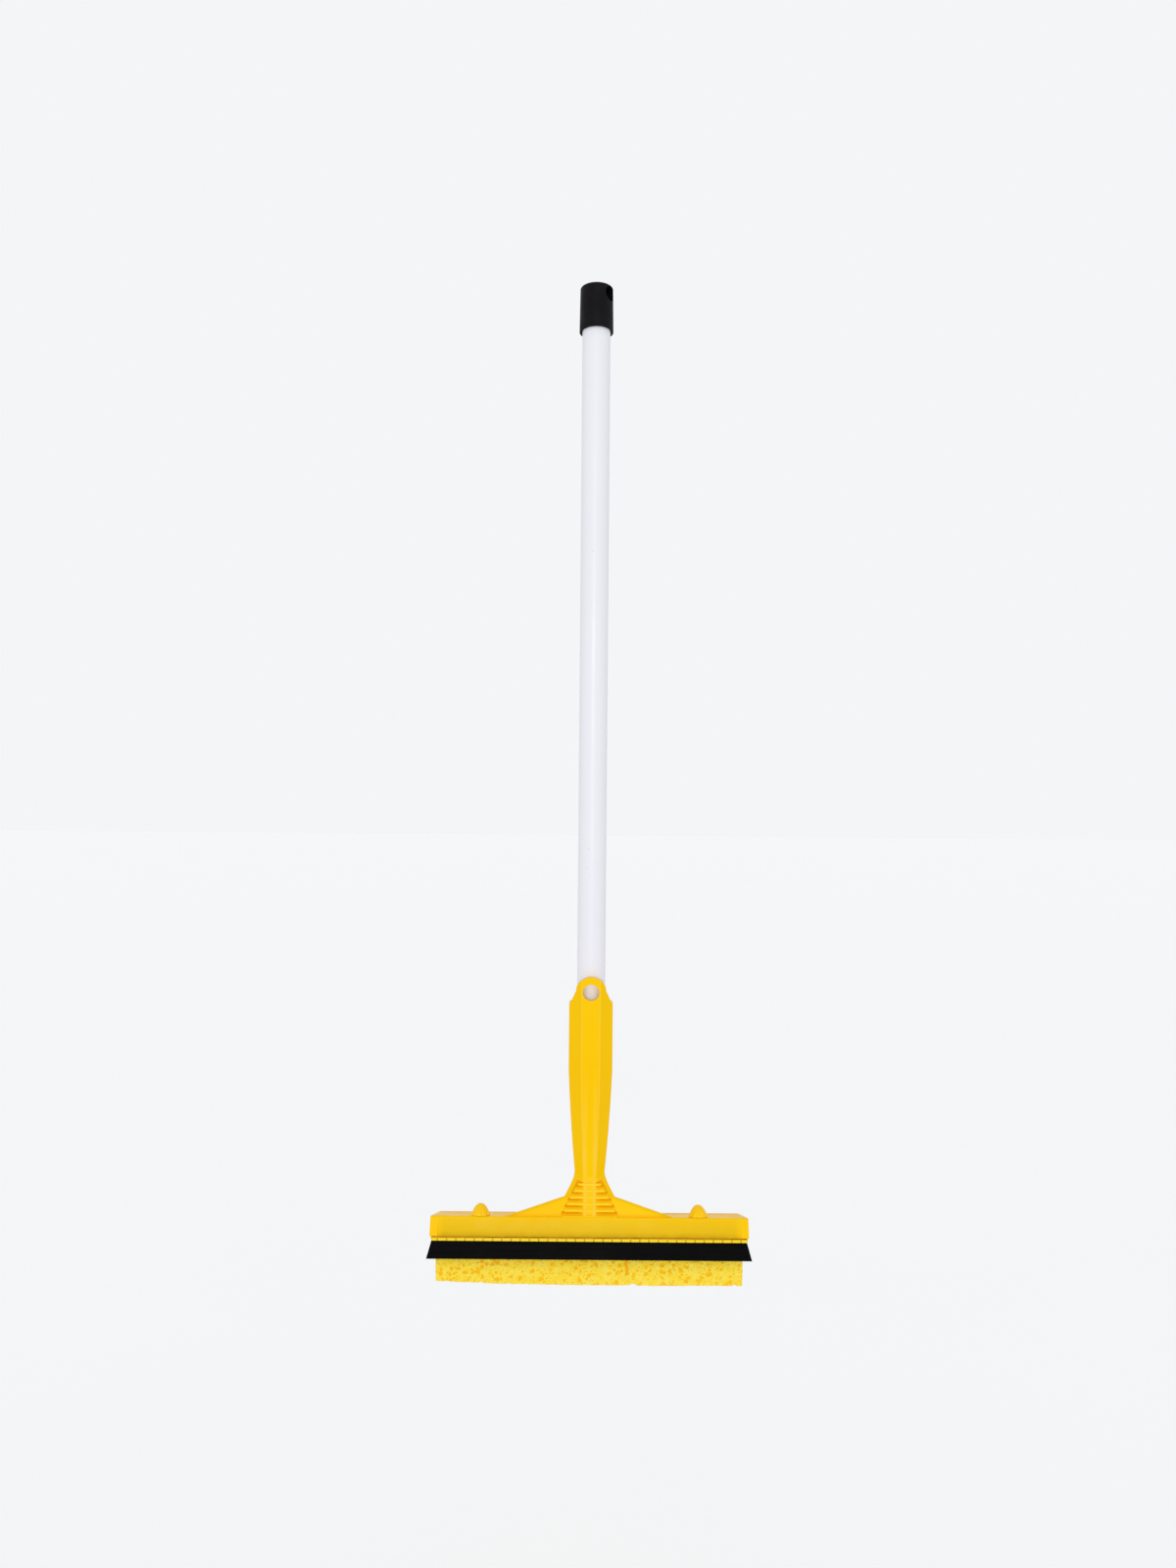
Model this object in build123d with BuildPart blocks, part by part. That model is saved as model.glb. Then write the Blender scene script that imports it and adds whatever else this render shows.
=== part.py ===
from build123d import *
from math import cos, radians, sin, tan
import os

# A window scrubber that hangs from the hole in its end cap.
# +Z runs up the pole, the blade side faces -Y and the head lies along X.
# The origin is the middle of the hang hole. All sizes are in millimetres.

os.makedirs("parts", exist_ok=True)

# Shared gaps
running_gap = 0.06
soft_gap = 0.4
seat_gap = 0.3
overrun = 1.0

# Pole
pole_length = 600.0
pole_radius = 11.0
sleeve_wall = 0.4
tube_wall = 0.5
plug_depth = 22.0
plug_foot = 2.0
plug_bore_radius = 6.0

# End cap
hang_radius = 4.5
hang_mouth_radius = 6.0
hang_land = 7.5
hang_turn = -32
cap_radius = 12.8
cap_rim_radius = 13.3
cap_crown = 6.4
cap_seat = 10.0
cap_skirt = 17.6
cap_edge_round = 1.0
cap_lip_chamfer = 0.6

# Grip
grip_sides = 8
grip_overlap = 57.0
grip_length = 133.0
grip_straight = 52.0
grip_half_width = 17.0
grip_edge_round = 2.2
neck_half_width = 11.5
grip_wall = 2.6
grip_top_chamfer = 0.9
socket_rib_width = 1.8
socket_rib_count = 8
socket_floor = 4.0
grip_belly_share = 0.52
grip_belly = 14.7
tab_eye_radius = 6.3
tab_eye_rise = 10.5
tab_rim = 5.4
tab_foot_half_width = 16.4
tab_back = 7.0

# Neck spigot and fan
spigot_length = 38.0
fan_height = 27.6
fan_collar_drop = 3.2
fan_collar_half_width = 12.4
fan_shoulder_drop = 14.0
fan_shoulder_half_width = 18.8
fan_foot_half_width = 24.0
fan_back_half_width = 15.3
fan_front_reach = 19.6
fan_back_reach = 14.0
fan_foot_bevel = 3.0
fan_border = 3.0
fan_foot_border = 1.2
fan_rib_drop = 5.4
fan_rib_pitch = 4.53
fan_rib_width = 1.5
fan_rib_count = 8
fan_rib_proud = 0.5
fan_pocket_depth = 2.6
spine_half_width = 8.6
spine_bevel = 4.0

# Wings
wing_knob_gap = 12.3
wing_root_half_width = 16.0
wing_setback = 1.2
wing_depth = 9.0
wing_edge_round = 2.4

# Head
head_tilt = 19.0
head_reach = 20.0
head_half_length = 121.7
head_depth = 47.0
head_skirt = 14.5
head_plate = 2.4
head_wall = 2.4
channel_width = 8.1
channel_wall = 2.0
face_undercut = 1.4
face_end_band = 6.0
face_margin = 1.2
head_corner_round = 1.2
rear_rim_width = 1.6
rear_rim_height = 0.4

# Blade carrier, studs and knobs
carrier_lip = 2.5
lip_setback = 0.2
tooth_pitch = 7.0
tooth_notch_width = 1.1
tooth_notch_depth = 0.6
stud_radius = 3.0
stud_end_distance = 37.7
stud_depth = 5.4
stud_rise = 6.6
stud_end_chamfer = 0.6
stud_setback = 6.7
knob_radius = 7.2
knob_height = 9.0
knob_crown_radius = 3.4
knob_crown_height = 7.6
knob_foot_height = 1.4
knob_flute_radius = 1.3
knob_flute_count = 10
knob_flute_depth = 0.9
knob_seat_gap = 0.1

# Rubber blade
blade_reach = 13.2
blade_end_gap = 1.1
blade_lip_flare = 3.5
blade_root_thickness = 2.4
blade_lip_thickness = 1.6
bead_radius = 1.6
bead_setback = 5.8
bead_drop = 10.8

# Sponge
sponge_end_gap = 4.3
sponge_drop = 49.5
sponge_round = 2.5
plate_thickness = 3.0

# Widths that follow the head's length
blade_half_length = head_half_length - blade_end_gap
blade_lip_half_length = blade_half_length + blade_lip_flare
notch_count = int(2 * blade_half_length / tooth_pitch)
stud_spread = 2 * (head_half_length - stud_end_distance)
wing_half_span = stud_spread / 2 - knob_radius - wing_knob_gap
sponge_half_length = head_half_length - sponge_end_gap

# Heights along the pole
pole_top = -cap_seat
pole_bottom = pole_top - pole_length
grip_top = pole_bottom + grip_overlap
grip_bottom = grip_top - grip_length
head_edge_z = grip_bottom - fan_height

# Planes of the tilted head: u runs back across its top, n runs up out of it
tilt = radians(head_tilt)
head_edge = Vector(0, -head_reach, head_edge_z)
back_dir = Vector(0, cos(tilt), -sin(tilt))
up_dir = Vector(0, sin(tilt), cos(tilt))
head_top = Plane(origin=head_edge, x_dir=(1, 0, 0), z_dir=up_dir)
head_side = Plane(origin=head_edge, x_dir=back_dir, z_dir=(1, 0, 0))
head_face = Plane(origin=head_edge, x_dir=(1, 0, 0), z_dir=back_dir * -1)
corner = (Align.MIN, Align.MAX)
half_turn = 180


def save(piece, name):
    """Label a finished piece and write its file."""
    piece.label = name
    export_step(piece, f"parts/{name}.step")


def octagon(half_width, edge_round):
    """Draw an eight-sided section with a flat to the front and rounded edges."""
    RegularPolygon(half_width, grip_sides, major_radius=False, rotation=half_turn / grip_sides)
    fillet(vertices(), edge_round)


# End cap: solid crown with a flared cross hole, skirt over the pole
hang_axis = Vector(cos(radians(hang_turn)), sin(radians(hang_turn)), 0)
hang_plane = Plane(origin=(0, 0, 0), x_dir=(0, 0, 1), z_dir=hang_axis)
with BuildPart() as end_cap:
    with BuildSketch(Plane.XY.offset(cap_crown)):
        Circle(cap_radius)
    with BuildSketch(Plane.XY.offset(-cap_seat - cap_skirt)):
        Circle(cap_rim_radius)
    loft()
    fillet(end_cap.faces().sort_by(Axis.Z)[-1].edges(), cap_edge_round)
    with BuildSketch(Plane.XY.offset(-cap_seat)):
        Circle(pole_radius + running_gap)
    extrude(amount=-cap_skirt, mode=Mode.SUBTRACT)
    mouth_edges = end_cap.faces().sort_by(Axis.Z)[0].edges().sort_by(SortBy.LENGTH)
    chamfer(mouth_edges[0], cap_lip_chamfer)
    with BuildSketch(hang_plane):
        Circle(hang_radius)
    extrude(amount=cap_rim_radius, both=True, mode=Mode.SUBTRACT)
    for way in (1, -1):
        with BuildSketch(hang_plane.offset(way * hang_land)):
            Circle(hang_radius)
        with BuildSketch(hang_plane.offset(way * cap_rim_radius)):
            Circle(hang_mouth_radius)
        loft(mode=Mode.SUBTRACT)
save(end_cap.part, "end_cap")

# Pole: steel tube in a white plastic sleeve
tube_radius = pole_radius - sleeve_wall
with BuildPart() as pole_tube:
    with BuildSketch(Plane.XY.offset(pole_bottom)):
        Circle(tube_radius)
        Circle(tube_radius - tube_wall, mode=Mode.SUBTRACT)
    extrude(amount=pole_length)
save(pole_tube.part, "pole_tube")

with BuildPart() as pole_sleeve:
    with BuildSketch(Plane.XY.offset(pole_bottom)):
        Circle(pole_radius)
        Circle(tube_radius, mode=Mode.SUBTRACT)
    extrude(amount=pole_length)
save(pole_sleeve.part, "pole_sleeve")

# Plug in the lower end of the tube
with BuildPart() as pole_plug:
    with BuildSketch(Plane.XY.offset(pole_bottom)):
        Circle(tube_radius - tube_wall)
    extrude(amount=plug_depth)
    with BuildSketch(Plane.XY.offset(pole_bottom)):
        Circle(tube_radius)
    extrude(amount=-plug_foot)
    with BuildSketch(Plane.XY.offset(pole_bottom + plug_depth)):
        Circle(plug_bore_radius)
    extrude(amount=-plug_depth, mode=Mode.SUBTRACT)
    chamfer(pole_plug.faces().sort_by(Axis.Z)[0].edges(), cap_lip_chamfer)
save(pole_plug.part, "pole_plug")

# Tab of the grip: the front walls of the grip carried up and cut to a rounded outline
tab_eye_z = grip_top + tab_eye_rise
tab_radius = tab_eye_radius + tab_rim
tab_foot_z = grip_top - grip_top_chamfer
inner_round = grip_edge_round / 2
with BuildPart() as tab:
    with BuildSketch(Plane.XY.offset(tab_foot_z)):
        octagon(grip_half_width, grip_edge_round)
        with BuildSketch(mode=Mode.PRIVATE) as tab_hollow:
            octagon(grip_half_width - grip_wall, inner_round)
        add(tab_hollow.sketch, mode=Mode.SUBTRACT)
    extrude(amount=tab_eye_z + tab_radius - tab_foot_z)
    with BuildSketch(Plane.XZ.offset(tab_back)):
        with Locations((0, tab_eye_z)):
            Circle(tab_radius)
        with BuildLine():
            Polyline(
                (-tab_foot_half_width, tab_foot_z),
                (-tab_foot_half_width, grip_top),
                (-tab_radius, tab_eye_z),
                (tab_radius, tab_eye_z),
                (tab_foot_half_width, grip_top),
                (tab_foot_half_width, tab_foot_z),
                close=True,
            )
        make_face()
        with Locations((0, tab_eye_z)):
            Circle(tab_eye_radius, mode=Mode.SUBTRACT)
    extrude(amount=grip_half_width, mode=Mode.INTERSECT)

# Grip: eight-sided shell, straight at the top and tapering to the neck
grip_bend = grip_top - grip_straight
grip_taper = grip_length - grip_straight
belly_z = grip_bend - grip_taper * grip_belly_share
socket_end = pole_bottom - plug_foot - seat_gap
hollow_top = socket_end - socket_floor
hollow_share = (grip_bend - hollow_top) / (grip_bend - belly_z)
hollow_half_width = grip_half_width - (grip_half_width - grip_belly) * hollow_share
with BuildPart() as grip:
    with BuildSketch(Plane.XY.offset(grip_top)):
        octagon(grip_half_width, grip_edge_round)
    extrude(amount=-grip_straight)
    chamfer(grip.faces().sort_by(Axis.Z)[-1].edges(), grip_top_chamfer)
    for height, half_width in (
        (grip_bend, grip_half_width),
        (belly_z, grip_belly),
        (grip_bottom, neck_half_width),
    ):
        with BuildSketch(Plane.XY.offset(height)):
            octagon(half_width, grip_edge_round)
    loft()
    # Socket between eight ribs that hold the pole
    with BuildSketch(Plane.XY.offset(grip_top)):
        octagon(grip_half_width - grip_wall, inner_round)
        with PolarLocations(grip_half_width - grip_wall, socket_rib_count):
            Rectangle(grip_half_width, socket_rib_width, mode=Mode.SUBTRACT)
    extrude(amount=-grip_straight, mode=Mode.SUBTRACT)
    with BuildSketch(Plane.XY.offset(grip_top)):
        Circle(pole_radius + running_gap)
    extrude(amount=socket_end - grip_top, mode=Mode.SUBTRACT)
    # Hollow below the socket floor, which takes the spigot of the head
    for height, half_width in (
        (hollow_top, hollow_half_width),
        (belly_z, grip_belly),
        (grip_bottom, neck_half_width),
    ):
        with BuildSketch(Plane.XY.offset(height)):
            octagon(half_width - grip_wall, inner_round)
    loft(mode=Mode.SUBTRACT)
    add(tab.part)
save(grip.part, "grip")


# Fan: eight-sided block that widens from the neck to the head, with pockets between ribs
def fan_section(half_width, back_half_width, front, back, bevel):
    """Draw a section with cut corners, which may be narrower at its back."""
    Polygon(
        (-half_width + bevel, -front),
        (half_width - bevel, -front),
        (half_width, -front + bevel),
        (back_half_width, back - bevel),
        (back_half_width - bevel, back),
        (-back_half_width + bevel, back),
        (-back_half_width, back - bevel),
        (-half_width, -front + bevel),
        align=None,
    )


fan_bottom = head_edge_z - head_depth * sin(tilt)
collar_z = grip_bottom - fan_collar_drop
shoulder_z = grip_bottom - fan_shoulder_drop
neck_bevel = neck_half_width * (1 - tan(radians(half_turn / grip_sides)))


def fan_width(height):
    """Give the fan's half-width at a height, straight between its measured levels."""
    marks = (
        (grip_bottom, neck_half_width),
        (collar_z, fan_collar_half_width),
        (shoulder_z, fan_shoulder_half_width),
        (head_edge_z, fan_foot_half_width),
    )
    for (upper_z, upper), (lower_z, lower) in zip(marks, marks[1:]):
        if height >= lower_z:
            return upper + (lower - upper) * (upper_z - height) / (upper_z - lower_z)
    return fan_foot_half_width


def fan_share(height):
    """Give how far down the fan a height lies, up to 1 at the head's front edge."""
    return min(1, (grip_bottom - height) / fan_height)


def fan_spread(height, at_foot):
    """Give a size that grows from the neck's half-width to its value at the fan's foot."""
    return neck_half_width + (at_foot - neck_half_width) * fan_share(height)


# The block before its pockets are cut
with BuildPart() as fan_block:
    for height in (grip_bottom, collar_z, shoulder_z, head_edge_z, fan_bottom):
        with BuildSketch(Plane.XY.offset(height)):
            front = fan_spread(height, fan_front_reach)
            back = fan_spread(height, fan_back_reach)
            bevel = neck_bevel + (fan_foot_bevel - neck_bevel) * fan_share(height)
            fan_section(fan_width(height), fan_spread(height, fan_back_half_width), front, back, bevel)
    loft(ruled=True)

# Core that the pockets leave: a bevelled spine, the floors beside it and a ramp in each pocket
with BuildPart() as fan_core:
    for height in (grip_bottom, head_edge_z, fan_bottom):
        with BuildSketch(Plane.XY.offset(height)):
            front = fan_spread(height, fan_front_reach) - fan_rib_proud
            back = fan_spread(height, fan_back_reach) - fan_rib_proud
            fan_section(spine_half_width, spine_half_width, front, back, spine_bevel)
    loft(ruled=True)
    for height in (grip_bottom, head_edge_z, fan_bottom):
        with BuildSketch(Plane.XY.offset(height)):
            front = fan_spread(height, fan_front_reach) - fan_pocket_depth
            back = fan_spread(height, fan_back_reach) - fan_pocket_depth
            with Locations((0, (back - front) / 2)):
                Rectangle(2 * fan_foot_half_width, front + back)
    loft(ruled=True)
    with BuildSketch(Plane.YZ):
        for index in range(fan_rib_count):
            ramp_top = grip_bottom - fan_rib_drop - index * fan_rib_pitch - fan_rib_width / 2
            ramp_foot = ramp_top - fan_rib_pitch + fan_rib_width
            for side, at_foot in ((-1, fan_front_reach), (1, fan_back_reach)):
                Polygon(
                    (0, ramp_top),
                    (side * (fan_spread(ramp_top, at_foot) - fan_pocket_depth), ramp_top),
                    (side * (fan_spread(ramp_foot, at_foot) - fan_rib_proud), ramp_foot),
                    (0, ramp_foot),
                    align=None,
                )
    extrude(amount=fan_foot_half_width, both=True)

# Pockets between the ribs, open to the front and narrower ones open to the back
front_right = [
    (fan_width(collar_z) - fan_border, collar_z),
    (fan_width(shoulder_z) - fan_border, shoulder_z),
    (fan_foot_half_width - fan_foot_border, head_edge_z),
    (fan_foot_half_width - fan_foot_border, fan_bottom),
]
back_right = [
    (fan_spread(height, fan_back_half_width) - fan_border, height)
    for height in (collar_z, head_edge_z, fan_bottom)
]
with BuildPart() as fan_pockets:
    for outline, depth in ((front_right, head_depth), (back_right, -head_depth)):
        mirrored = [(-x, height) for x, height in reversed(outline)]
        with BuildSketch(Plane.XZ):
            Polygon(*outline, *mirrored, align=None)
            for index in range(fan_rib_count):
                with Locations((0, grip_bottom - fan_rib_drop - index * fan_rib_pitch)):
                    Rectangle(2 * fan_foot_half_width, fan_rib_width, mode=Mode.SUBTRACT)
        extrude(amount=depth)
    add(fan_core.part, mode=Mode.SUBTRACT)

# Wing: a buttress that runs down from the fan along the head's front edge
wing_rise = (shoulder_z - head_edge_z + wing_setback * sin(tilt)) / cos(tilt)
with BuildPart() as wing:
    with BuildSketch(head_face.offset(-wing_setback)):
        Polygon(
            (wing_root_half_width, wing_rise),
            (fan_shoulder_half_width, wing_rise),
            (wing_half_span, 0),
            (wing_half_span, -head_plate),
            (wing_root_half_width, -head_plate),
            align=None,
        )
    extrude(amount=-wing_depth)
    sloping_edges = wing.edges().group_by(SortBy.LENGTH)[-2]
    fillet(sloping_edges, wing_edge_round)

with BuildPart() as fan:
    add(fan_block.part)
    add(wing.part)
    add(wing.part.mirror(Plane.YZ))
    add(fan_pockets.part, mode=Mode.SUBTRACT)
    split(bisect_by=head_top.offset(-head_plate / 2), keep=Keep.TOP)

# Head: long hollow moulding with a front channel and a rear bay
bay_front = head_wall + channel_width + channel_wall
with BuildPart() as head_frame:
    with BuildSketch(head_side):
        Rectangle(head_depth, head_skirt, align=corner)
    extrude(amount=head_half_length, both=True)
    fillet(head_frame.edges().filter_by(Axis.X), head_corner_round)
    with BuildSketch(head_side):
        with Locations((head_wall, -head_plate)):
            Rectangle(channel_width, head_skirt, align=corner)
    extrude(amount=head_half_length + overrun, both=True, mode=Mode.SUBTRACT)
    with BuildSketch(head_side):
        with Locations((bay_front, -head_plate)):
            Rectangle(head_depth - head_wall - bay_front, head_skirt, align=corner)
    extrude(amount=head_half_length - head_wall, both=True, mode=Mode.SUBTRACT)
    # Front face between its end bands, curved back towards the lower edge
    with BuildSketch(head_side):
        with BuildLine():
            TangentArc((0, -face_margin), (face_undercut, -head_skirt), tangent=(0, -1))
            Polyline(
                (face_undercut, -head_skirt),
                (-overrun, -head_skirt - overrun),
                (-overrun, -face_margin),
                (0, -face_margin),
            )
        make_face()
    extrude(amount=head_half_length - face_end_band, both=True, mode=Mode.SUBTRACT)
    with BuildSketch(head_side):
        with Locations((head_depth - head_corner_round, rear_rim_height)):
            Rectangle(rear_rim_width, head_plate, align=(Align.MAX, Align.MAX))
    extrude(amount=head_half_length - head_corner_round, both=True)
    add(fan.part)
    with BuildSketch(Plane.XY.offset(grip_bottom)):
        Circle(neck_half_width - grip_wall - seat_gap)
    extrude(amount=spigot_length)
    chamfer(head_frame.faces().sort_by(Axis.Z)[-1].edges(), head_corner_round)
    with BuildSketch(head_top):
        with GridLocations(stud_spread, 0, 2, 1):
            with Locations((0, stud_setback)):
                Circle(stud_radius + seat_gap)
    extrude(amount=-2 * head_plate, mode=Mode.SUBTRACT)
save(head_frame.part, "head_frame")

# Blade carrier: bar in the front channel, its toothed lip shows below the front face
carrier_front = head_wall + seat_gap
carrier_back = head_wall + channel_width - seat_gap
carrier_top = head_plate + seat_gap
carrier_bottom = head_skirt + seat_gap + carrier_lip
slot_half_width = blade_root_thickness / 2 + seat_gap
with BuildPart() as blade_carrier:
    with BuildSketch(head_side):
        with Locations((carrier_front, -carrier_top)):
            Rectangle(carrier_back - carrier_front, carrier_bottom - carrier_top, align=corner)
        with Locations((lip_setback, -head_skirt - seat_gap)):
            Rectangle(carrier_back - lip_setback, carrier_lip, align=corner)
        with Locations((bead_setback, -bead_drop)):
            Circle(bead_radius + seat_gap, mode=Mode.SUBTRACT)
            Rectangle(
                2 * slot_half_width, carrier_bottom, align=(Align.CENTER, Align.MAX), mode=Mode.SUBTRACT
            )
    extrude(amount=blade_half_length, both=True)
    with BuildSketch(head_face.offset(-lip_setback)):
        with GridLocations(tooth_pitch, 0, notch_count, 1):
            with Locations((0, -carrier_bottom + carrier_lip / 2)):
                Rectangle(tooth_notch_width, carrier_lip + seat_gap)
    extrude(amount=-tooth_notch_depth, mode=Mode.SUBTRACT)
    with BuildSketch(head_top.offset(-carrier_top)):
        with GridLocations(stud_spread, 0, 2, 1):
            with Locations((0, stud_setback)):
                Circle(stud_radius)
    extrude(amount=-stud_depth, mode=Mode.SUBTRACT)
save(blade_carrier.part, "blade_carrier")

# Rubber blade: beaded root, thin lip, ends that spread towards the lip
blade_tip = carrier_bottom + blade_reach
with BuildPart() as rubber_blade:
    with BuildSketch(head_side):
        with Locations((bead_setback, -bead_drop)):
            Circle(bead_radius)
        with BuildLine():
            Polyline(
                (bead_setback - blade_root_thickness / 2, -bead_drop),
                (bead_setback + blade_root_thickness / 2, -bead_drop),
                (bead_setback + blade_lip_thickness / 2, -blade_tip),
                (bead_setback - blade_lip_thickness / 2, -blade_tip),
                close=True,
            )
        make_face()
    extrude(amount=blade_lip_half_length, both=True)
    with BuildSketch(head_face):
        with BuildLine():
            Polyline(
                (-blade_half_length, 0),
                (blade_half_length, 0),
                (blade_half_length, -carrier_bottom),
                (blade_lip_half_length, -blade_tip),
                (-blade_lip_half_length, -blade_tip),
                (-blade_half_length, -carrier_bottom),
                close=True,
            )
        make_face()
    extrude(amount=-head_depth, mode=Mode.INTERSECT)
save(rubber_blade.part, "rubber_blade")

# Studs and knobs, one pair at each end
knob_bore_radius = stud_radius + running_gap
knob_tangents = ((-1, 2), (-1, 0))
for side, name in ((-1, "left"), (1, "right")):
    stud_plane = Plane(
        origin=head_top.from_local_coords((side * stud_spread / 2, stud_setback, 0)),
        x_dir=(1, 0, 0),
        z_dir=up_dir,
    )
    with BuildPart() as stud:
        with BuildSketch(stud_plane.offset(-carrier_top - stud_depth)):
            Circle(stud_radius)
        extrude(amount=carrier_top + stud_depth + stud_rise)
        stud_tip = stud.faces().sort_by(Axis(head_edge, up_dir))[-1]
        chamfer(stud_tip.edges(), stud_end_chamfer)
    save(stud.part, f"stud_{name}")

    knob_plane = stud_plane.offset(knob_seat_gap)
    with BuildPart() as knob:
        with BuildSketch(Plane(origin=knob_plane.origin, x_dir=(1, 0, 0), z_dir=back_dir * -1)):
            with BuildLine():
                Line((0, 0), (knob_radius, 0))
                Line((knob_radius, 0), (knob_radius, knob_foot_height))
                Spline(
                    (knob_radius, knob_foot_height),
                    (knob_crown_radius, knob_crown_height),
                    (0, knob_height),
                    tangents=knob_tangents,
                )
                Line((0, knob_height), (0, 0))
            make_face()
        revolve(axis=Axis(knob_plane.origin, up_dir))
        flute_ring = knob_radius + knob_flute_radius - knob_flute_depth
        with BuildSketch(knob_plane.offset(-overrun)):
            with PolarLocations(flute_ring, knob_flute_count):
                Circle(knob_flute_radius)
        extrude(amount=knob_height + 2 * overrun, mode=Mode.SUBTRACT)
        with BuildSketch(knob_plane):
            Circle(knob_bore_radius)
        extrude(amount=stud_rise + seat_gap, mode=Mode.SUBTRACT)
    save(knob.part, f"knob_{name}")

# Sponge on its backing plate, in the rear bay
sponge_front = bay_front + soft_gap
sponge_depth = head_depth - head_wall - soft_gap - sponge_front
plate_top = head_plate + seat_gap
with BuildPart() as sponge_plate:
    with BuildSketch(head_side):
        with Locations((sponge_front, -plate_top)):
            Rectangle(sponge_depth, plate_thickness, align=corner)
    extrude(amount=sponge_half_length, both=True)
save(sponge_plate.part, "sponge_plate")

with BuildPart() as sponge:
    with BuildSketch(head_side):
        with Locations((sponge_front, -plate_top - plate_thickness)):
            Rectangle(sponge_depth, sponge_drop - plate_top - plate_thickness, align=corner)
    extrude(amount=sponge_half_length, both=True)
    lower_face = sponge.faces().sort_by(Axis(head_edge, up_dir))[0]
    fillet(lower_face.edges(), sponge_round)
save(sponge.part, "sponge")
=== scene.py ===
import math
import random

import bpy
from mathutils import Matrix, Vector, noise
from mathutils.kdtree import KDTree


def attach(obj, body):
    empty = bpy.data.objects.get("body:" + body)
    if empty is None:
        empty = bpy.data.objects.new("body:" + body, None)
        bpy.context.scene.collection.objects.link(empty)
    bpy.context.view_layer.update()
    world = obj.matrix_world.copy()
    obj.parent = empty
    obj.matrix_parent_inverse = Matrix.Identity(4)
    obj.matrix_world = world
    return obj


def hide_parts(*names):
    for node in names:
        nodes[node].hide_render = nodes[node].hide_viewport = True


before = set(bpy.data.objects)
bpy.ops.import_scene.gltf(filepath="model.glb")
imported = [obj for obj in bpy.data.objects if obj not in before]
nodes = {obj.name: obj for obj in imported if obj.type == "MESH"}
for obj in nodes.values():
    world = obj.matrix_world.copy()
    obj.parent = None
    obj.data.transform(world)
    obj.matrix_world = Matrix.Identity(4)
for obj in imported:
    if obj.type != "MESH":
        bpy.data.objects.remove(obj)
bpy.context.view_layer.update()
scene = bpy.context.scene


def srgb(red, green, blue):
    """Turn a colour in 0 to 255 into a linear one with alpha."""
    def channel(value):
        share = value / 255
        return share / 12.92 if share <= 0.04045 else ((share + 0.055) / 1.055) ** 2.4

    return channel(red), channel(green), channel(blue), 1.0


# Colours
BACKGROUND = srgb(244, 245, 247)
YELLOW = srgb(255, 205, 2)
YELLOW_DEEP = srgb(254, 194, 1)
YELLOW_PALE = srgb(255, 212, 50)
YELLOW_FACE_SHADE = srgb(226, 184, 8)
YELLOW_HIGHLIGHT = srgb(255, 209, 66)
YELLOW_CARRIER_SHADE = srgb(206, 152, 6)
YELLOW_FOOT_SHADE = srgb(206, 162, 12)
YELLOW_SEAM_SHADE = srgb(250, 180, 2)
YELLOW_POCKET_SHADE = srgb(242, 158, 0)
YELLOW_RIB_HIGHLIGHT = srgb(255, 214, 30)
YELLOW_LIP_HIGHLIGHT = srgb(255, 220, 40)
POLE_WHITE = srgb(240, 239, 246)
POLE_GREY = srgb(235, 235, 243)
CAP_BLACK = srgb(16, 15, 19)
CAP_GREY = srgb(38, 37, 43)
MOUTH_SHADE = srgb(3, 3, 4)
RUBBER_BLACK = srgb(5, 5, 6)
RUBBER_GREY = srgb(24, 22, 22)
SPONGE_LIGHT = srgb(255, 231, 84)
SPONGE_MID = srgb(255, 222, 48)
SPONGE_PORE_SHADE = srgb(255, 195, 1)
STEEL = srgb(196, 199, 203)
STEEL_DARK = srgb(150, 152, 156)
PLUG_GREY = srgb(158, 160, 164)
PLUG_DARK = srgb(128, 130, 134)
POLE_SPECK = srgb(168, 168, 180)
POLE_SCUFF = srgb(206, 206, 218)
FLOOR_PALE = srgb(238, 239, 241)
FLOOR_GREY = srgb(236, 237, 239)

# Hang hole of the cap, with painted shade in its mouth
HANG_AXIS = Vector((math.cos(math.radians(-32)), math.sin(math.radians(-32)), 0.0))
HANG_MOUTH = 0.0060
MOUTH_SOFT = 0.0004

# Frame of the head: u runs back across its top, n runs up out of it.
TILT = math.radians(19.0)
EDGE = Vector((0.0, -0.020, -0.7136))
BACK = Vector((0.0, math.cos(TILT), -math.sin(TILT)))
UP = Vector((0.0, math.sin(TILT), math.cos(TILT)))
HEAD_SKIRT = 0.0145
FACE_HALF = 0.1168

# Front of the fan: its face leans forward from the neck, with pockets between two slanted borders
NECK_FRONT = Vector((0.0, -0.0115, -0.6860))
FAN_INWARD = Vector((0.0, 1.0, -0.2935))
POCKET_TOP = -0.6892
POCKET_HALF = 0.0094
POCKET_SPREAD = 0.549
BAND_INNER, BAND_OUTER, BAND_SOFT = 0.0020, 0.0056, 0.0012

# Where each tone of painted shade and painted highlight starts and where it is full. Along u, along
# n and sideways on the head:
PANEL_BACK = (0.0019, 0.0016)
PANEL_DOWN = (-0.0004, -0.0020)
PANEL_ENDS = (FACE_HALF, FACE_HALF - 0.006)
FOOT_DOWN = (-0.0105, -HEAD_SKIRT)
SEAM_SHADE_DOWN = (0.0026, 0.0)
ABOVE_HEAD = (0.0, 0.0001)
LIP_DOWN = (-0.0151, -0.0160)
RECESS_BACK = (0.0004, 0.0009)
# down the grip, in z:
GRIP_BANDS_DOWN = (-0.600, -0.665)
# and on the fan: sideways, upward, and in from its front to ribs, spine and pocket floors.
POCKET_SIDE = (POCKET_HALF + 0.0002, POCKET_HALF)
POCKET_UP = (0.0004, 0.0)
FAN_ABOVE_HEAD = (0.0, 0.0002)
BESIDE_SPINE = (BAND_OUTER, BAND_OUTER + 0.004)
POCKET_IN = (0.0007, 0.0022)
POCKET_OUT = (0.0034, 0.0030)
# Limits of the depth of ribs and spine, and how softly they end
RIB_IN, SPINE_IN, DEPTH_SOFT = (-0.0003, 0.0001), (0.0003, 0.0012), 0.0001


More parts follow.
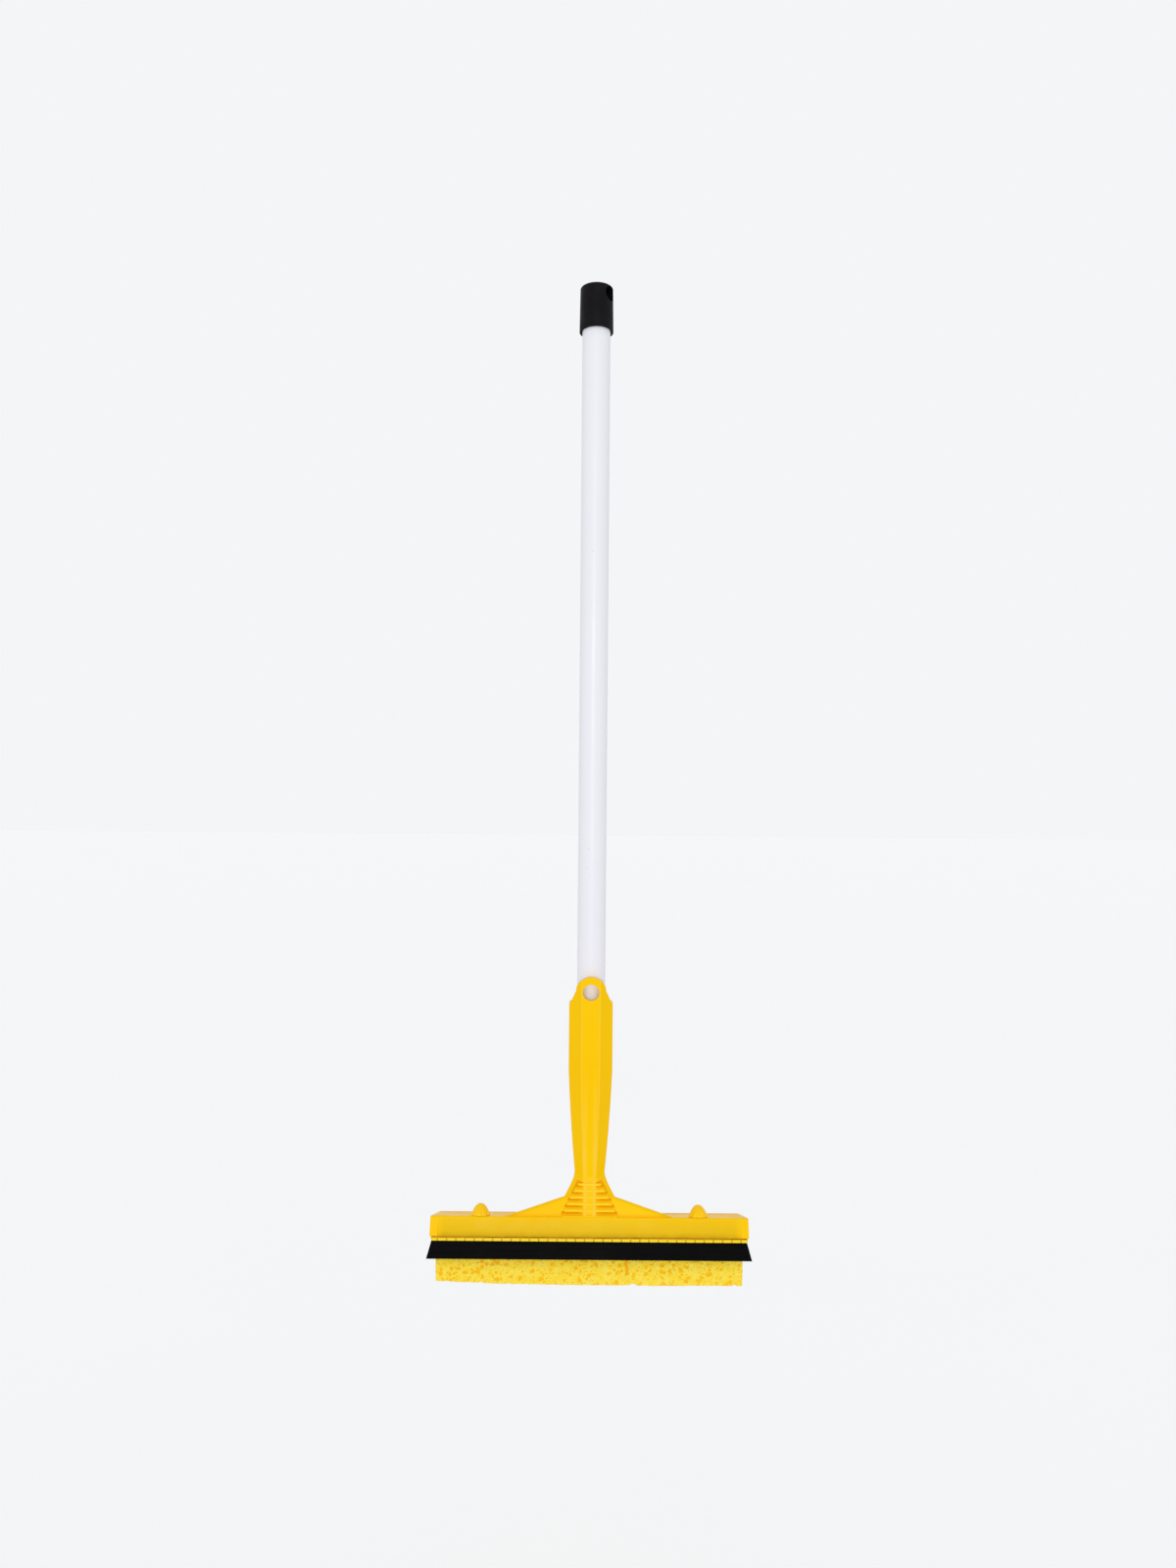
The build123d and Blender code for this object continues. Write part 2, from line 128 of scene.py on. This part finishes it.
class Nodes:
    """Short calls for building one material's node tree."""

    def __init__(self, name):
        self.material = bpy.data.materials.new(name)
        self.material.use_nodes = True
        self.tree = self.material.node_tree
        self.shader = self.tree.nodes["Principled BSDF"]
        coordinates = self.tree.nodes.new("ShaderNodeTexCoord")
        self.place = coordinates.outputs["Object"]

    def link(self, source, target):
        self.tree.links.new(source, target)

    def mapped(self, scale=(1, 1, 1), turn=(0, 0, 0)):
        """Object coordinates, stretched and turned."""
        node = self.tree.nodes.new("ShaderNodeMapping")
        node.inputs["Scale"].default_value = scale
        node.inputs["Rotation"].default_value = turn
        self.link(self.place, node.inputs["Vector"])
        return node.outputs["Vector"]

    def noise(self, scale, detail=3.0, roughness=0.5, where=None):
        node = self.tree.nodes.new("ShaderNodeTexNoise")
        node.inputs["Scale"].default_value = scale
        node.inputs["Detail"].default_value = detail
        node.inputs["Roughness"].default_value = roughness
        self.link(where or self.place, node.inputs["Vector"])
        return node.outputs["Fac"]

    def cells(self, scale, where=None, randomness=1.0):
        node = self.tree.nodes.new("ShaderNodeTexVoronoi")
        node.inputs["Scale"].default_value = scale
        node.inputs["Randomness"].default_value = randomness
        self.link(where or self.place, node.inputs["Vector"])
        return node.outputs["Distance"]

    def spread(self, source, low, high, to_low=0.0, to_high=1.0):
        """Stretch a value from one range to another, clamped."""
        node = self.tree.nodes.new("ShaderNodeMapRange")
        node.inputs["From Min"].default_value = low
        node.inputs["From Max"].default_value = high
        node.inputs["To Min"].default_value = to_low
        node.inputs["To Max"].default_value = to_high
        self.link(source, node.inputs["Value"])
        return node.outputs["Result"]

    def maths(self, operation, first, second):
        node = self.tree.nodes.new("ShaderNodeMath")
        node.operation = operation
        for value, socket in zip((first, second), node.inputs):
            if isinstance(value, (int, float)):
                socket.default_value = value
            else:
                self.link(value, socket)
        return node.outputs["Value"]

    def times(self, first, second):
        return self.maths("MULTIPLY", first, second)

    def vector(self, operation, first, second=None):
        """Vector maths, each input a vector or a socket."""
        node = self.tree.nodes.new("ShaderNodeVectorMath")
        node.operation = operation
        for value, socket in zip((first, second), node.inputs):
            if isinstance(value, bpy.types.NodeSocket):
                self.link(value, socket)
            elif value is not None:
                socket.default_value = value
        return node.outputs

    def blend(self, share, first, second):
        """Mix two colours, each a colour or a socket."""
        node = self.tree.nodes.new("ShaderNodeMix")
        node.data_type = "RGBA"
        sockets = [s for s in node.inputs if s.type == "RGBA"]
        self.link(share, node.inputs[0])
        for value, socket in zip((first, second), sockets):
            if isinstance(value, tuple):
                socket.default_value = value
            else:
                self.link(value, socket)
        return [s for s in node.outputs if s.type == "RGBA"][0]

    def edges(self, radius):
        """Share of rounding near the edges of the solid."""
        bevel = self.tree.nodes.new("ShaderNodeBevel")
        bevel.samples = 4
        bevel.inputs["Radius"].default_value = radius
        geometry = self.tree.nodes.new("ShaderNodeNewGeometry")
        turned = self.vector("DOT_PRODUCT", bevel.outputs["Normal"], geometry.outputs["Normal"])
        return self.spread(turned["Value"], 0.995, 0.8)

    def bump(self, height, strength, distance, under=None):
        node = self.tree.nodes.new("ShaderNodeBump")
        node.inputs["Strength"].default_value = strength
        node.inputs["Distance"].default_value = distance
        self.link(height, node.inputs["Height"])
        if under is not None:
            self.link(under, node.inputs["Normal"])
        return node.outputs["Normal"]

    def finish(self, colour, roughness, normal, **sockets):
        self.link(colour, self.shader.inputs["Base Color"])
        self.link(roughness, self.shader.inputs["Roughness"])
        self.link(normal, self.shader.inputs["Normal"])
        for name, value in sockets.items():
            self.shader.inputs[name.replace("_", " ")].default_value = value
        return self.material


def scratches(kit, scale, turn, width=0.03):
    """Thin straight scuffs along one direction, 1 where a scuff is."""
    stretched = kit.mapped((scale, scale, scale * width), turn)
    lines = kit.cells(1.0, stretched)
    thin = kit.spread(lines, 0.0, 0.035, 1.0, 0.0)
    patches = kit.spread(kit.noise(scale * 0.12, 2.0), 0.5, 0.62)
    return kit.times(thin, patches)


def along(kit, direction, origin):
    """Distance of the surface from a point, along a direction."""
    offset = kit.vector("SUBTRACT", kit.place, origin)["Vector"]
    return kit.vector("DOT_PRODUCT", offset, direction)["Value"]


def face_shade_share(kit):
    """Share of the painted shade on the textured front panel of the head, darker towards its bottom
    and fading out at its ends.
    """
    in_front = kit.spread(along(kit, BACK, EDGE), *PANEL_BACK)
    below = kit.spread(along(kit, UP, EDGE), *PANEL_DOWN)
    inside = kit.spread(sideways(kit), *PANEL_ENDS)
    down = kit.spread(along(kit, UP, EDGE), 0.0, -HEAD_SKIRT, 0.3, 1.0)
    return kit.times(kit.times(in_front, below), kit.times(inside, down))


def facing(kit, direction):
    """Cosine between the surface's normal and a direction."""
    normal = kit.tree.nodes.new("ShaderNodeNewGeometry").outputs["Normal"]
    return kit.vector("DOT_PRODUCT", normal, direction)["Value"]


def facet_edges(kit):
    """Share of the rounded edges between the eight upright facets of the grip."""
    nearest = 0.0
    for number in range(4):
        angle = math.radians(45 * number)
        towards = kit.maths("ABSOLUTE", facing(kit, (math.cos(angle), math.sin(angle), 0.0)), 0.0)
        nearest = kit.maths("MAXIMUM", towards, nearest)
    return kit.spread(nearest, 0.985, 0.955)


def sideways(kit):
    """Distance of the surface from the middle plane."""
    return kit.maths("ABSOLUTE", along(kit, Vector((1.0, 0.0, 0.0)), EDGE), 0.0)


def highlight_bands(kit):
    """Share of the two upright painted highlight bands beside the middle of the front."""
    x = sideways(kit)
    inner = kit.spread(x, BAND_INNER, BAND_INNER + BAND_SOFT)
    return kit.times(inner, kit.spread(x, BAND_OUTER, BAND_OUTER - BAND_SOFT))


def within(kit, value, low, high, soft):
    """1 where a value lies between two limits, with soft ends."""
    return kit.times(kit.spread(value, low - soft, low), kit.spread(value, high + soft, high))


def fan_front(kit, colour):
    """Painted light on the front of the fan: painted highlights on the ribs, painted shade in the
    pockets and two broken painted highlight bands on the spine.
    """
    upward = along(kit, Vector((0.0, 0.0, 1.0)), Vector((0.0, 0.0, POCKET_TOP)))
    side = kit.maths("ADD", sideways(kit), kit.times(upward, POCKET_SPREAD))
    inside = kit.times(kit.spread(side, *POCKET_SIDE), kit.spread(upward, *POCKET_UP))
    above_head = kit.spread(along(kit, UP, EDGE), *FAN_ABOVE_HEAD)
    inside = kit.times(inside, above_head)
    depth = along(kit, FAN_INWARD, NECK_FRONT)
    ribs = kit.times(inside, within(kit, depth, *RIB_IN, DEPTH_SOFT))
    # Painted highlight on the fronts of the ribs.
    colour = kit.blend(kit.times(ribs, 0.8), colour, YELLOW_RIB_HIGHLIGHT)
    # Painted shade in the pockets, weaker next to the spine.
    deep = kit.times(kit.spread(depth, *POCKET_IN), kit.spread(depth, *POCKET_OUT))
    beside = kit.spread(sideways(kit), *BESIDE_SPINE, 0.3, 1.0)
    colour = kit.blend(kit.times(kit.times(deep, inside), beside), colour, YELLOW_POCKET_SHADE)
    # Painted highlight bands on the spine, broken up by noise.
    spine = kit.times(inside, within(kit, depth, *SPINE_IN, DEPTH_SOFT))
    rubbed = kit.spread(kit.noise(90.0, 3.0), 0.3, 0.7, 0.6, 1.0)
    bands = kit.times(kit.times(spine, highlight_bands(kit)), rubbed)
    return kit.blend(bands, colour, YELLOW_HIGHLIGHT)


def seam_shade(kit):
    """Share of the painted shade (a deeper tone) on upright faces just above the top of the head.
    """
    upright = kit.spread(facing(kit, BACK), -0.4, -0.7)
    return kit.times(kit.spread(along(kit, UP, EDGE), *SEAM_SHADE_DOWN), upright)


def moulded_yellow(name, tone=0.5, wear=0.6, panel=False, facets=False, shaded_lip=False, specular=0.05):
    """Moulded plastic with soft tones, scuffs and paler worn edges; on the carrier, painted shade
    and a painted highlight on the lip in place of the soft tones.
    """
    kit = Nodes(name)
    if shaded_lip:
        # Painted highlight on the lower part of the lip; painted shade above it and on the parts
        # set back behind the front.
        lip = kit.spread(along(kit, UP, EDGE), *LIP_DOWN)
        colour = kit.blend(lip, YELLOW_CARRIER_SHADE, YELLOW_LIP_HIGHLIGHT)
        recessed = kit.spread(along(kit, BACK, EDGE), *RECESS_BACK)
        colour = kit.blend(recessed, colour, YELLOW_CARRIER_SHADE)
    else:
        broad = kit.spread(kit.noise(14.0, 3.0), 0.3, 0.7)
        colour = kit.blend(kit.times(broad, tone), YELLOW, YELLOW_DEEP)
    if panel:
        # Painted shade on the front panel of the head, mottled and darker towards its bottom.
        mottled = kit.spread(kit.noise(70.0, 4.0), 0.3, 0.7, 0.85, 1.0)
        dull = kit.times(face_shade_share(kit), mottled)
        colour = kit.blend(dull, colour, YELLOW_FACE_SHADE)
        # Painted shade at the foot of the front panel, just above the lip, in blotches.
        foot = kit.spread(along(kit, UP, EDGE), *FOOT_DOWN)
        blotched = kit.spread(kit.noise(120.0, 4.0), 0.35, 0.6, 0.35, 1.0)
        colour = kit.blend(kit.times(kit.times(foot, dull), blotched), colour, YELLOW_FOOT_SHADE)
        # Painted shade where the upright faces meet the top of the head.
        above = kit.spread(along(kit, UP, EDGE), *ABOVE_HEAD)
        colour = kit.blend(kit.times(seam_shade(kit), above), colour, YELLOW_SEAM_SHADE)
        colour = fan_front(kit, colour)
    if facets:
        # Painted highlights on the rounded facet edges of the grip and on two bands down its lower
        # front, broken up by noise.
        rubbed = kit.spread(kit.noise(50.0, 3.0), 0.3, 0.7, 0.55, 1.0)
        low = kit.spread(along(kit, Vector((0.0, 0.0, 1.0)), Vector()), *GRIP_BANDS_DOWN)
        bands = kit.times(kit.times(highlight_bands(kit), low), 0.8)
        edges = kit.maths("MAXIMUM", facet_edges(kit), bands)
        colour = kit.blend(kit.times(edges, rubbed), colour, YELLOW_HIGHLIGHT)
    worn = kit.times(kit.edges(0.0008), kit.spread(kit.noise(160.0, 4.0), 0.35, 0.65))
    colour = kit.blend(kit.times(worn, wear), colour, YELLOW_PALE)
    scuffs = kit.maths(
        "ADD",
        scratches(kit, 420.0, (0.3, 0.9, 0.2)),
        scratches(kit, 300.0, (1.1, 0.2, 0.7)),
    )
    colour = kit.blend(kit.times(scuffs, 0.25), colour, YELLOW_PALE)
    gloss = kit.spread(kit.noise(60.0, 4.0), 0.3, 0.7, 0.26, 0.4)
    roughness = kit.maths("ADD", gloss, kit.times(scuffs, 0.2))
    ripple = kit.bump(kit.noise(90.0, 2.0), 0.1, 0.0004)
    grain = kit.bump(kit.noise(2600.0, 2.0), 0.12, 0.00004, ripple)
    return kit.finish(colour, roughness, grain, IOR=1.49, Specular_IOR_Level=specular)


def sleeve_white():
    """White plastic skin with faint drawn lines, a few specks and rubbed patches."""
    kit = Nodes("pole_white_skin")
    drawn = kit.noise(1.0, 3.0, 0.6, kit.mapped((900.0, 900.0, 6.0)))
    tone = kit.spread(kit.noise(9.0, 3.0), 0.3, 0.7)
    colour = kit.blend(kit.times(tone, 0.35), POLE_WHITE, POLE_GREY)
    specks = kit.spread(kit.cells(95.0), 0.035, 0.055, 1.0, 0.0)
    few = kit.spread(kit.noise(40.0, 1.0), 0.55, 0.6)
    colour = kit.blend(kit.times(kit.times(specks, few), 0.5), colour, POLE_SPECK)
    scuffs = scratches(kit, 260.0, (0.1, 0.05, 0.0))
    colour = kit.blend(kit.times(scuffs, 0.35), colour, POLE_SCUFF)
    roughness = kit.maths("ADD", kit.spread(tone, 0.0, 1.0, 0.3, 0.42), kit.times(scuffs, 0.2))
    normal = kit.bump(drawn, 0.06, 0.00006)
    return kit.finish(colour, roughness, normal, IOR=1.46, Specular_IOR_Level=0.3)


def grained_black():
    """Matt black plastic with a fine spark grain and rubbed, greyer edges."""
    kit = Nodes("cap_black_grain")
    grain = kit.noise(1500.0, 3.0, 0.6)
    rubbed = kit.times(kit.edges(0.0012), kit.spread(kit.noise(240.0, 4.0), 0.3, 0.6))
    dust = kit.spread(kit.noise(70.0, 5.0, 0.65), 0.48, 0.75)
    share = kit.maths("ADD", kit.times(rubbed, 0.7), kit.times(dust, 0.3))
    colour = kit.blend(share, CAP_BLACK, CAP_GREY)
    # Painted shade inside the mouth of the hang hole.
    across_axis = kit.vector("CROSS_PRODUCT", kit.place, HANG_AXIS)["Vector"]
    away = kit.vector("LENGTH", across_axis)["Value"]
    in_mouth = kit.spread(away, HANG_MOUTH, HANG_MOUTH - MOUTH_SOFT)
    colour = kit.blend(in_mouth, colour, MOUTH_SHADE)
    roughness = kit.spread(kit.noise(120.0, 3.0), 0.3, 0.7, 0.46, 0.62)
    return kit.finish(colour, roughness, kit.bump(grain, 0.35, 0.00008), Specular_IOR_Level=0.07)


def blade_black():
    """Smooth black rubber with a dusty bloom and a paler rubbed lip."""
    kit = Nodes("blade_rubber_skin")
    bloom = kit.spread(kit.noise(45.0, 5.0, 0.6), 0.5, 0.8)
    streaks = kit.noise(1.0, 3.0, 0.6, kit.mapped((12.0, 500.0, 700.0)))
    rubbed = kit.times(kit.edges(0.0008), 0.5)
    share = kit.maths("ADD", kit.times(bloom, 0.35), rubbed)
    colour = kit.blend(share, RUBBER_BLACK, RUBBER_GREY)
    roughness = kit.spread(streaks, 0.3, 0.7, 0.42, 0.58)
    return kit.finish(colour, roughness, kit.bump(streaks, 0.12, 0.00005), Specular_IOR_Level=0.03)


def porous_sponge():
    """Pale cell walls, with painted shade (deeper yellow) in the modelled pores, in the crease and
    in small painted pores between them.
    """
    kit = Nodes("sponge_cells")
    sunk = kit.tree.nodes.new("ShaderNodeAttribute")
    sunk.attribute_name = "pore"
    warp = kit.noise(300.0, 3.0, 0.6)
    # Small pores painted as deeper yellow spots, with no pits in the mesh.
    pin_holes = kit.spread(kit.cells(760.0), 0.2, 0.34, 1.0, 0.0)
    crowded = kit.spread(kit.noise(170.0, 3.0), 0.46, 0.58)
    small = kit.times(kit.times(pin_holes, crowded), 0.8)
    holes = kit.spread(kit.cells(430.0), 0.22, 0.29, 1.0, 0.0)
    some = kit.spread(kit.noise(120.0, 2.0), 0.47, 0.53)
    small = kit.maths("MAXIMUM", small, kit.times(holes, some))
    # Painted shade: deeper yellow in the modelled pores, the crease and the small painted pores.
    open_share = kit.maths("MAXIMUM", kit.spread(sunk.outputs["Fac"], 0.15, 0.4), small)
    patches = kit.spread(kit.noise(190.0, 4.0, 0.6), 0.38, 0.62)
    base = kit.blend(patches, SPONGE_MID, SPONGE_LIGHT)
    colour = kit.blend(open_share, base, SPONGE_PORE_SHADE)
    height = kit.maths("SUBTRACT", kit.times(warp, 0.5), open_share)
    roughness = kit.spread(warp, 0.3, 0.7, 0.82, 0.97)
    return kit.finish(colour, roughness, kit.bump(height, 0.12, 0.0003), Specular_IOR_Level=0.4)


def drawn_finish(name, light, dark, stretch, metallic=1.0, rough=(0.25, 0.42)):
    """Steel or plain plastic with fine drawn lines and dull spots."""
    kit = Nodes(name)
    lines = kit.noise(1.0, 3.0, 0.6, kit.mapped(stretch))
    spots = kit.spread(kit.noise(130.0, 4.0), 0.45, 0.7)
    colour = kit.blend(kit.times(spots, 0.6), light, dark)
    roughness = kit.spread(lines, 0.3, 0.7, rough[0], rough[1])
    return kit.finish(colour, roughness, kit.bump(lines, 0.15, 0.00005), Metallic=metallic)


finishes = {
    "grip": moulded_yellow("grip_yellow_gloss", 0.35, facets=True),
    "head_frame": moulded_yellow("head_yellow_gloss", 0.45, panel=True),
    "blade_carrier": moulded_yellow("carrier_yellow_gloss", wear=1.0, shaded_lip=True),
    "knob_left": moulded_yellow("knob_yellow_gloss", 0.1, wear=1.0, specular=0.2),
    "sponge_plate": moulded_yellow("plate_yellow_matt", 0.7, wear=0.3),
    "pole_sleeve": sleeve_white(),
    "end_cap": grained_black(),
    "rubber_blade": blade_black(),
    "pole_tube": drawn_finish("tube_steel_drawn", STEEL, STEEL_DARK, (900.0, 900.0, 8.0)),
    "stud_left": drawn_finish("stud_zinc", STEEL, STEEL_DARK, (200.0, 200.0, 1800.0)),
    "pole_plug": drawn_finish(
        "plug_grey_plain", PLUG_GREY, PLUG_DARK, (400.0, 400.0, 400.0), 0.0, rough=(0.4, 0.6)
    ),
}
finishes["knob_right"] = finishes["knob_left"]
finishes["stud_right"] = finishes["stud_left"]
for name, material in finishes.items():
    for material_slot in nodes[name].material_slots:
        material_slot.material = material

# Sponge: a swollen block with real pores, in place of the plain CAD block.
HALF_X = 0.1172
FRONT_U, BACK_U = 0.0130, 0.0441
TOP_N, BOTTOM_N = -0.0058, -0.0492
BAY_N = -0.0145
CELLS = (400, 52, 74)
CORNER = 0.0013
# Nicks in the lower edge: place along the head, half width, height
NICKS = (
    (0.0335, 0.0026, 0.0013),
    (0.1115, 0.0017, 0.0010),
    (-0.0830, 0.0022, 0.0007),
    (-0.0610, 0.0016, 0.0005),
)
# Crease in the front face: place, half width, depth, and where it ends
CREASE_X, CREASE_HALF, CREASE_DEPTH = 0.0288, 0.0015, 0.0018
CREASE_TOP_N, CREASE_END_N = -0.0240, -0.0420
CREASE_WOBBLE = 0.0009
# Swelling below the bay, crown of the lower face, and how far its left and right ends are worn up
SWELL = 0.0007
CROWN_HEIGHT, CROWN_DROP = 0.0006, 0.55
LIFT_LEFT, LIFT_RIGHT = 0.0034, 0.0012
# Height and frequency of the broad waves, the ragged lower edge and the roughness of the skin
WAVE, WAVE_SCALE = 0.0005, 28
RAGGED, RAGGED_SCALE = 0.0006, 330
ROUGH, ROUGH_SCALE = 0.00022, 520
# Pores: a few wide ones among many small ones
PORE_DEPTH = 0.34
PORE_COUNT = 4600
PORE_SEED = 41
PORE_RADIUS, PORE_GROWTH, PORE_WIDEST = 0.0006, 0.0013, 0.0019


def sponge_point(x, u, n):
    """Place of a point of the sponge's frame in the scene."""
    return EDGE + Vector((x, 0.0, 0.0)) + BACK * u + UP * n


def box_surface(cells):
    """Vertices in -1 to 1 and quads of a gridded box surface."""
    index = {}
    quads = []
    for first, second, across, low_turned in ((0, 1, 2, True), (0, 2, 1, False), (1, 2, 0, True)):
        for one in range(cells[first]):
            for two in range(cells[second]):
                for level, turned in ((0, low_turned), (cells[across], not low_turned)):
                    quad = []
                    for step, other_step in ((0, 0), (1, 0), (1, 1), (0, 1)):
                        key = [level, level, level]
                        key[first] = one + step
                        key[second] = two + other_step
                        quad.append(index.setdefault(tuple(key), len(index)))
                    quads.append(quad[::-1] if turned else quad)
    places = [tuple(2 * p / q - 1 for p, q in zip(key, cells)) for key in index]
    return places, quads


def rounded(value, half, corner):
    """Clamp a coordinate to the core of a rounded box, and give what stands out."""
    core = half - corner
    kept = max(-core, min(core, value))
    return kept, value - kept


def crease_share(x, n):
    """How far a point of the front face lies in the crease."""
    wobble = noise.noise(Vector((0.0, 7.0, n * 260))) * CREASE_WOBBLE
    beside = max(0.0, 1 - abs(x - CREASE_X - wobble) / CREASE_HALF)
    above = max(0.0, min(1.0, (n - CREASE_END_N) / CREASE_HALF))
    below = max(0.0, min(1.0, (CREASE_TOP_N - n) / CREASE_HALF))
    return beside * above * below


def sponge_macro(place):
    """The block without pores: rounded, swollen below the bay, crowned at the bottom."""
    halves = (HALF_X, (BACK_U - FRONT_U) / 2, (TOP_N - BOTTOM_N) / 2)
    centre = (0.0, (BACK_U + FRONT_U) / 2, (TOP_N + BOTTOM_N) / 2)
    scaled = [p * h for p, h in zip(place, halves)]
    cores, rests = zip(*(rounded(s, h, CORNER) for s, h in zip(scaled, halves)))
    rest = Vector(rests)
    if rest.length > 0:
        rest = rest.normalized() * CORNER
    x, u, n = (c + r + m for c, r, m in zip(cores, rest, centre))
    depth = max(0.0, min(1.0, (BAY_N - n) / (BAY_N - BOTTOM_N)))
    lengthways = x / HALF_X
    across = (u - centre[1]) / halves[1]
    swell = math.sin(math.pi * min(1.0, depth * 1.15)) * SWELL
    u += swell * across
    x += swell * lengthways
    crown = 1 - CROWN_DROP * across * across
    lift_left = LIFT_LEFT * max(0.0, -lengthways - 0.25) ** 1.6
    lift_right = LIFT_RIGHT * max(0.0, lengthways - 0.55) ** 1.5
    n += depth * depth * (lift_left + lift_right + CROWN_HEIGHT * (1 - crown))
    wave = noise.noise(Vector((x * WAVE_SCALE, u * WAVE_SCALE, n * WAVE_SCALE))) * WAVE * depth
    n += wave * 0.8
    u += wave
    ragged = abs(noise.noise(Vector((x * RAGGED_SCALE, u * RAGGED_SCALE, 3.0)))) * RAGGED
    nick = sum(height * max(0.0, 1 - ((x - spot) / half) ** 2) for spot, half, height in NICKS)
    n += depth ** 8 * (nick + ragged)
    if across < 0:
        u += CREASE_DEPTH * crease_share(x, n) * across * across
    return Vector((x, u, n))


def make_sponge():
    """Build the sponge's mesh and press pores into it."""
    places, quads = box_surface(CELLS)
    points = [sponge_macro(place) for place in places]
    mesh = bpy.data.meshes.new("sponge_block")
    mesh.from_pydata([sponge_point(*p) for p in points], [], quads)
    mesh.update()
    normals = [vertex.normal.copy() for vertex in mesh.vertices]
    random.seed(PORE_SEED)
    pores = KDTree(PORE_COUNT)
    radii = []
    for number, pick in enumerate(random.sample(range(len(points)), PORE_COUNT)):
        pores.insert(mesh.vertices[pick].co, number)
        radii.append(PORE_RADIUS + PORE_GROWTH * random.random() ** 5)
    pores.balance()
    sunk = []
    for vertex, normal, (x, u, n) in zip(mesh.vertices, normals, points):
        sink = deepest = 0.0
        for _, number, distance in pores.find_range(vertex.co, PORE_WIDEST):
            radius = radii[number]
            if distance < radius:
                share = 1 - (distance / radius) ** 2
                sink = max(sink, radius * PORE_DEPTH * math.sqrt(share))
                deepest = max(deepest, share)
        rough = noise.noise(vertex.co * ROUGH_SCALE) * ROUGH
        vertex.co -= normal * (sink - rough)
        # The crease in the front face takes the pores' painted shade.
        if u < (FRONT_U + BACK_U) / 2:
            deepest = max(deepest, crease_share(x, n))
        sunk.append(deepest)
    mesh.update()
    mesh.attributes.new("pore", "FLOAT", "POINT").data.foreach_set("value", sunk)
    piece = bpy.data.objects.new("sponge_block", mesh)
    scene.collection.objects.link(piece)
    mesh.materials.append(porous_sponge())
    for polygon in mesh.polygons:
        polygon.use_smooth = True
    return piece


sponge = make_sponge()
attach(sponge, "sponge")
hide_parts("sponge")

# Floor, well below the hanging scrubber, and the glow that brings it to the background's tone
FLOOR_Z = -1.12
FLOOR_HALF = 14.0
FLOOR_LIFT = 0.244
FLOOR_CORNERS = ((-1, -1), (1, -1), (1, 1), (-1, 1))


def seen_rays(tree):
    """1 for the rays by which the camera sees the background, in mirrors and glass too."""
    path = tree.nodes.new("ShaderNodeLightPath")
    share = path.outputs["Is Camera Ray"]
    for name in ("Is Glossy Ray", "Is Transmission Ray"):
        either = tree.nodes.new("ShaderNodeMath")
        either.operation = "MAXIMUM"
        tree.links.new(share, either.inputs[0])
        tree.links.new(path.outputs[name], either.inputs[1])
        share = either.outputs[0]
    return share


def pale_floor():
    """Matt pale floor that takes the object's shadow."""
    kit = Nodes("floor_pale")
    tone = kit.spread(kit.noise(3.0, 2.0), 0.3, 0.7)
    colour = kit.blend(kit.times(tone, 0.2), FLOOR_PALE, FLOOR_GREY)
    roughness = kit.spread(tone, 0.0, 1.0, 0.9, 0.95)
    material = kit.finish(colour, roughness, kit.bump(tone, 0.02, 0.0001))
    glow = kit.tree.nodes.new("ShaderNodeEmission")
    glow.inputs["Color"].default_value = BACKGROUND
    kit.link(kit.times(seen_rays(kit.tree), FLOOR_LIFT), glow.inputs["Strength"])
    both = kit.tree.nodes.new("ShaderNodeAddShader")
    kit.link(kit.shader.outputs["BSDF"], both.inputs[0])
    kit.link(glow.outputs["Emission"], both.inputs[1])
    kit.link(both.outputs["Shader"], kit.tree.nodes["Material Output"].inputs["Surface"])
    return material


floor_mesh = bpy.data.meshes.new("floor")
floor_mesh.from_pydata(
    [(x * FLOOR_HALF, y * FLOOR_HALF, FLOOR_Z) for x, y in FLOOR_CORNERS], [], [(0, 1, 2, 3)]
)
floor = bpy.data.objects.new("floor", floor_mesh)
scene.collection.objects.link(floor)
floor_mesh.materials.append(pale_floor())

# World: plain soft light, seen as the pale background
WORLD_LIGHT = 0.77
world = bpy.data.worlds.new("studio")
scene.world = world
world.use_nodes = True
tree = world.node_tree
light = tree.nodes["Background"]
light.inputs["Color"].default_value = (1.0, 1.0, 1.0, 1.0)
light.inputs["Strength"].default_value = WORLD_LIGHT
seen = tree.nodes.new("ShaderNodeBackground")
seen.inputs["Color"].default_value = BACKGROUND
seen.inputs["Strength"].default_value = 1.0
mix = tree.nodes.new("ShaderNodeMixShader")
tree.links.new(seen_rays(tree), mix.inputs[0])
tree.links.new(light.outputs[0], mix.inputs[1])
tree.links.new(seen.outputs[0], mix.inputs[2])
tree.links.new(mix.outputs[0], tree.nodes["World Output"].inputs["Surface"])


def sun(name, towards, strength, angle):
    """A broad soft lamp that shines along a direction."""
    data = bpy.data.lights.new(name, "SUN")
    data.energy = strength
    data.angle = math.radians(angle)
    lamp = bpy.data.objects.new(name, data)
    lamp.rotation_mode = "QUATERNION"
    lamp.rotation_quaternion = Vector(towards).to_track_quat("-Z", "Y")
    scene.collection.objects.link(lamp)


KEY_TOWARDS, KEY_STRENGTH, KEY_ANGLE = (0.06, 1.0, -0.10), 0.80, 16
sun("key", KEY_TOWARDS, KEY_STRENGTH, KEY_ANGLE)

# Camera, level with the middle of the pole and a little rolled
CAMERA_PLACE = (-0.00377, -0.804, -0.382)
FOCAL_PIXELS = 1045.0
FRAME_HEIGHT_PIXELS = 1600.0
SENSOR = 36.0
ROLL = math.radians(0.47)
camera_data = bpy.data.cameras.new("camera")
camera_data.sensor_fit = "AUTO"
camera_data.sensor_width = SENSOR
camera_data.lens = SENSOR * FOCAL_PIXELS / FRAME_HEIGHT_PIXELS
camera = bpy.data.objects.new("camera", camera_data)
camera.location = CAMERA_PLACE
camera.rotation_euler = (math.radians(90), -ROLL, 0)
scene.collection.objects.link(camera)
scene.camera = camera
scene.view_settings.view_transform = "Standard"
